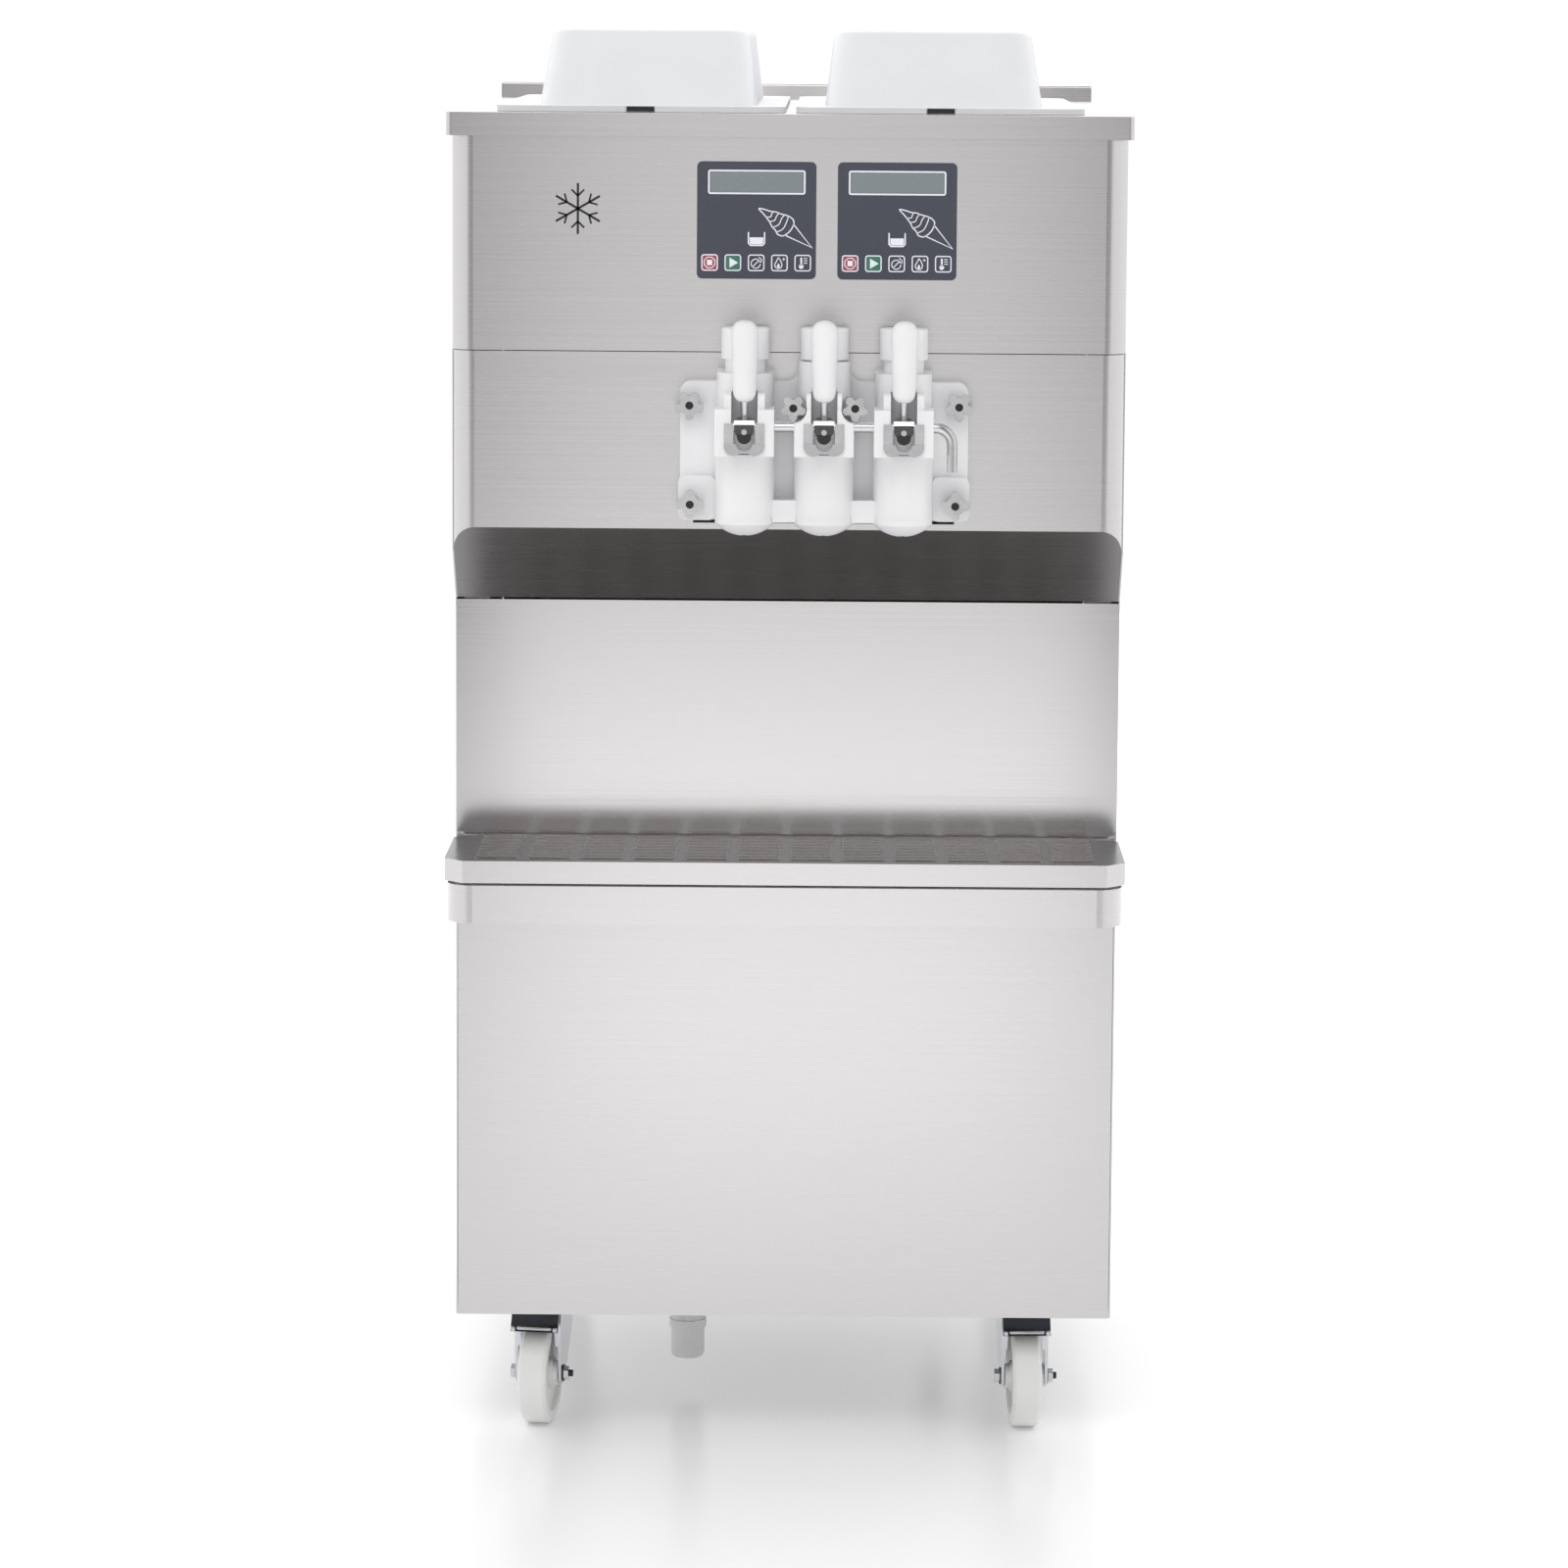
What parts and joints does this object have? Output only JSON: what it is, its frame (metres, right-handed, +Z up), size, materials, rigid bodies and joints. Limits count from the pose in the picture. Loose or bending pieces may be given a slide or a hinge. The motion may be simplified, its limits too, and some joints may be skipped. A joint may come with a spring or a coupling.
{
  "type": "soft serve machine",
  "caption": "Floor-standing soft serve machine on casters, with lift-off hopper lids, a draw-lever dispensing door, touch panels and a drip tray.",
  "frame": {"origin": "on the floor, at the centre of the bounding box seen from above", "axes": "+Z up, the dispensing front faces -Y, +X to the right of someone facing it"},
  "size_m": [0.649, 0.89, 1.375],
  "materials": {
    "cabinet_steel": "fine brushed",
    "frame_steel": "mill",
    "tank_steel": "satin",
    "polished_steel": "polished",
    "white_plastic": "satin moulded",
    "lid_plastic": "semi-gloss moulded",
    "overlay_film": "fine matt film",
    "display_film": "smooth film",
    "cast_housing": "cast",
    "compressor_paint": "gloss paint",
    "fin_aluminium": "finned",
    "box_paint": "powder coat",
    "fan_plastic": "moulded",
    "zinc_plate": "bright zinc",
    "wheel_nylon": "satin nylon",
    "pedal_black": "gloss black"
  },
  "bodies": {
    "cabinet": {"base_plate": "cabinet_steel", "frame_tubes": "frame_steel", "rear_panel": "cabinet_steel", "rear_upstand": "cabinet_steel", "top_cover": "cabinet_steel", "head_upper_panel": "cabinet_steel", "head_lower_panel": "cabinet_steel", "splash_panel": "cabinet_steel", "lower_front_panel": "cabinet_steel", "drip_shelf": "cabinet_steel", "hoppers": "tank_steel", "feed_tubes": "tank_steel", "control_overlays": "overlay_film", "display_windows": "display_film", "freezing_cylinders": "tank_steel", "gearmotors": "cast_housing", "compressor": "compressor_paint", "condenser": "fin_aluminium", "electrical_box": "box_paint", "drain_fitting": "white_plastic", "dispensing_door": "white_plastic", "door_studs": "polished_steel", "spout_caps": "white_plastic", "spring_clips": "polished_steel", "caster_plates": "zinc_plate", "side_panel_left": "cabinet_steel", "side_panel_right": "cabinet_steel"},
    "lid_left": {"hopper_lid_left": "lid_plastic"},
    "lid_right": {"hopper_lid_right": "lid_plastic"},
    "pan": {"drip_pan": "tank_steel"},
    "grille": {"drip_grille": "cabinet_steel"},
    "rod": {"pivot_rod": "polished_steel"},
    "lever_left": {"draw_lever_left": "polished_steel", "grip_left": "white_plastic"},
    "piston_left": {"valve_piston_left": "white_plastic"},
    "lever_middle": {"draw_lever_middle": "polished_steel", "grip_middle": "white_plastic"},
    "piston_middle": {"valve_piston_middle": "white_plastic"},
    "lever_right": {"draw_lever_right": "polished_steel", "grip_right": "white_plastic"},
    "piston_right": {"valve_piston_right": "white_plastic"},
    "knob_upper_left": {"star_knob_upper_left": "polished_steel"},
    "knob_inner_left": {"star_knob_inner_left": "polished_steel"},
    "knob_inner_right": {"star_knob_inner_right": "polished_steel"},
    "knob_upper_right": {"star_knob_upper_right": "polished_steel"},
    "knob_lower_left": {"star_knob_lower_left": "polished_steel"},
    "knob_lower_right": {"star_knob_lower_right": "polished_steel"},
    "beater_left": {"beater_left": "tank_steel"},
    "beater_right": {"beater_right": "tank_steel"},
    "fan": {"condenser_fan": "fan_plastic"},
    "fork_front_left": {"caster_fork_front_left": "zinc_plate"},
    "wheel_front_left": {"caster_wheel_front_left": "wheel_nylon"},
    "pedal_front_left": {"brake_pedal_front_left": "pedal_black"},
    "fork_front_right": {"caster_fork_front_right": "zinc_plate"},
    "wheel_front_right": {"caster_wheel_front_right": "wheel_nylon"},
    "pedal_front_right": {"brake_pedal_front_right": "pedal_black"},
    "fork_rear_left": {"caster_fork_rear_left": "zinc_plate"},
    "wheel_rear_left": {"caster_wheel_rear_left": "wheel_nylon"},
    "fork_rear_right": {"caster_fork_rear_right": "zinc_plate"},
    "wheel_rear_right": {"caster_wheel_rear_right": "wheel_nylon"}
  },
  "joints": [
    {"name": "lid_left_lift", "type": "slide", "parent": "cabinet", "child": "lid_left", "axis": [0, 0, 1], "range_m": [0, 0.2]},
    {"name": "lid_right_lift", "type": "slide", "parent": "cabinet", "child": "lid_right", "axis": [0, 0, 1], "range_m": [0, 0.2]},
    {"name": "drip_pan_lift", "type": "slide", "parent": "cabinet", "child": "pan", "axis": [0, 0, 1], "range_m": [0, 0.1]},
    {"name": "drip_grille_lift", "type": "slide", "parent": "pan", "child": "grille", "axis": [0, 0, 1], "range_m": [0, 0.1]},
    {"name": "pivot_rod_pull", "type": "slide", "parent": "cabinet", "child": "rod", "axis": [1, 0, 0], "range_m": [0, 0.21]},
    {"name": "lever_left_pull", "type": "hinge", "parent": "cabinet", "child": "lever_left", "pos_m": [-0.0405, -0.414, 1.007], "axis": [1, 0, 0], "range_deg": [0, 45]},
    {"name": "piston_left_rise", "type": "slide", "parent": "cabinet", "child": "piston_left", "axis": [0, 0, 1], "range_m": [0, 0.0199]},
    {"name": "lever_middle_pull", "type": "hinge", "parent": "cabinet", "child": "lever_middle", "pos_m": [0.034, -0.414, 1.007], "axis": [1, 0, 0], "range_deg": [0, 45]},
    {"name": "piston_middle_rise", "type": "slide", "parent": "cabinet", "child": "piston_middle", "axis": [0, 0, 1], "range_m": [0, 0.0199]},
    {"name": "lever_right_pull", "type": "hinge", "parent": "cabinet", "child": "lever_right", "pos_m": [0.1085, -0.414, 1.007], "axis": [1, 0, 0], "range_deg": [0, 45]},
    {"name": "piston_right_rise", "type": "slide", "parent": "cabinet", "child": "piston_right", "axis": [0, 0, 1], "range_m": [0, 0.0199]},
    {"name": "knob_upper_left_turn", "type": "hinge", "parent": "cabinet", "child": "knob_upper_left", "pos_m": [-0.093, -0.37, 1.024], "axis": [0, 1, 0], "continuous": true},
    {"name": "knob_inner_left_turn", "type": "hinge", "parent": "cabinet", "child": "knob_inner_left", "pos_m": [0.005, -0.37, 1.024], "axis": [0, 1, 0], "continuous": true},
    {"name": "knob_inner_right_turn", "type": "hinge", "parent": "cabinet", "child": "knob_inner_right", "pos_m": [0.063, -0.37, 1.024], "axis": [0, 1, 0], "continuous": true},
    {"name": "knob_upper_right_turn", "type": "hinge", "parent": "cabinet", "child": "knob_upper_right", "pos_m": [0.161, -0.37, 1.024], "axis": [0, 1, 0], "continuous": true},
    {"name": "knob_lower_left_turn", "type": "hinge", "parent": "cabinet", "child": "knob_lower_left", "pos_m": [-0.092, -0.37, 0.931], "axis": [0, 1, 0], "continuous": true},
    {"name": "knob_lower_right_turn", "type": "hinge", "parent": "cabinet", "child": "knob_lower_right", "pos_m": [0.158, -0.37, 0.931], "axis": [0, 1, 0], "continuous": true},
    {"name": "beater_left_spin", "type": "hinge", "parent": "cabinet", "child": "beater_left", "pos_m": [-0.028, 0, 0.97], "axis": [0, 1, 0], "continuous": true},
    {"name": "beater_right_spin", "type": "hinge", "parent": "cabinet", "child": "beater_right", "pos_m": [0.096, 0, 0.97], "axis": [0, 1, 0], "continuous": true},
    {"name": "fan_spin", "type": "hinge", "parent": "cabinet", "child": "fan", "pos_m": [0.12, 0.318, 0.32], "axis": [0, 1, 0], "continuous": true},
    {"name": "swivel_front_left", "type": "hinge", "parent": "cabinet", "child": "fork_front_left", "pos_m": [-0.236, -0.18, 0.118], "axis": [0, 0, 1], "continuous": true},
    {"name": "roll_front_left", "type": "hinge", "parent": "fork_front_left", "child": "wheel_front_left", "pos_m": [-0.24087, -0.21466, 0.05], "axis": [0.9903, -0.1392, 0], "continuous": true},
    {"name": "brake_front_left", "type": "hinge", "parent": "fork_front_left", "child": "pedal_front_left", "pos_m": [-0.24171, -0.2206, 0.118], "axis": [0.9903, -0.1392, 0], "range_deg": [0, 12]},
    {"name": "swivel_front_right", "type": "hinge", "parent": "cabinet", "child": "fork_front_right", "pos_m": [0.236, -0.18, 0.118], "axis": [0, 0, 1], "continuous": true},
    {"name": "roll_front_right", "type": "hinge", "parent": "fork_front_right", "child": "wheel_front_right", "pos_m": [0.23814, -0.21493, 0.05], "axis": [0.9981, 0.061, 0], "continuous": true},
    {"name": "brake_front_right", "type": "hinge", "parent": "fork_front_right", "child": "pedal_front_right", "pos_m": [0.2385, -0.22092, 0.118], "axis": [0.9981, 0.061, 0], "range_deg": [0, 12]},
    {"name": "swivel_rear_left", "type": "hinge", "parent": "cabinet", "child": "fork_rear_left", "pos_m": [-0.236, 0.35, 0.118], "axis": [0, 0, 1], "continuous": true},
    {"name": "roll_rear_left", "type": "hinge", "parent": "fork_rear_left", "child": "wheel_rear_left", "pos_m": [-0.24328, 0.38423, 0.05], "axis": [-0.9781, -0.2079, 0], "continuous": true},
    {"name": "swivel_rear_right", "type": "hinge", "parent": "cabinet", "child": "fork_rear_right", "pos_m": [0.236, 0.35, 0.118], "axis": [0, 0, 1], "continuous": true},
    {"name": "roll_rear_right", "type": "hinge", "parent": "fork_rear_right", "child": "wheel_rear_right", "pos_m": [0.23966, 0.38481, 0.05], "axis": [-0.9945, 0.1045, 0], "continuous": true}
  ],
  "couplings": [
    {"joint": "piston_left_rise", "follows": "lever_left_pull", "m_per_rad": 0.02521},
    {"joint": "piston_middle_rise", "follows": "lever_middle_pull", "m_per_rad": 0.02521},
    {"joint": "piston_right_rise", "follows": "lever_right_pull", "m_per_rad": 0.02521}
  ]
}
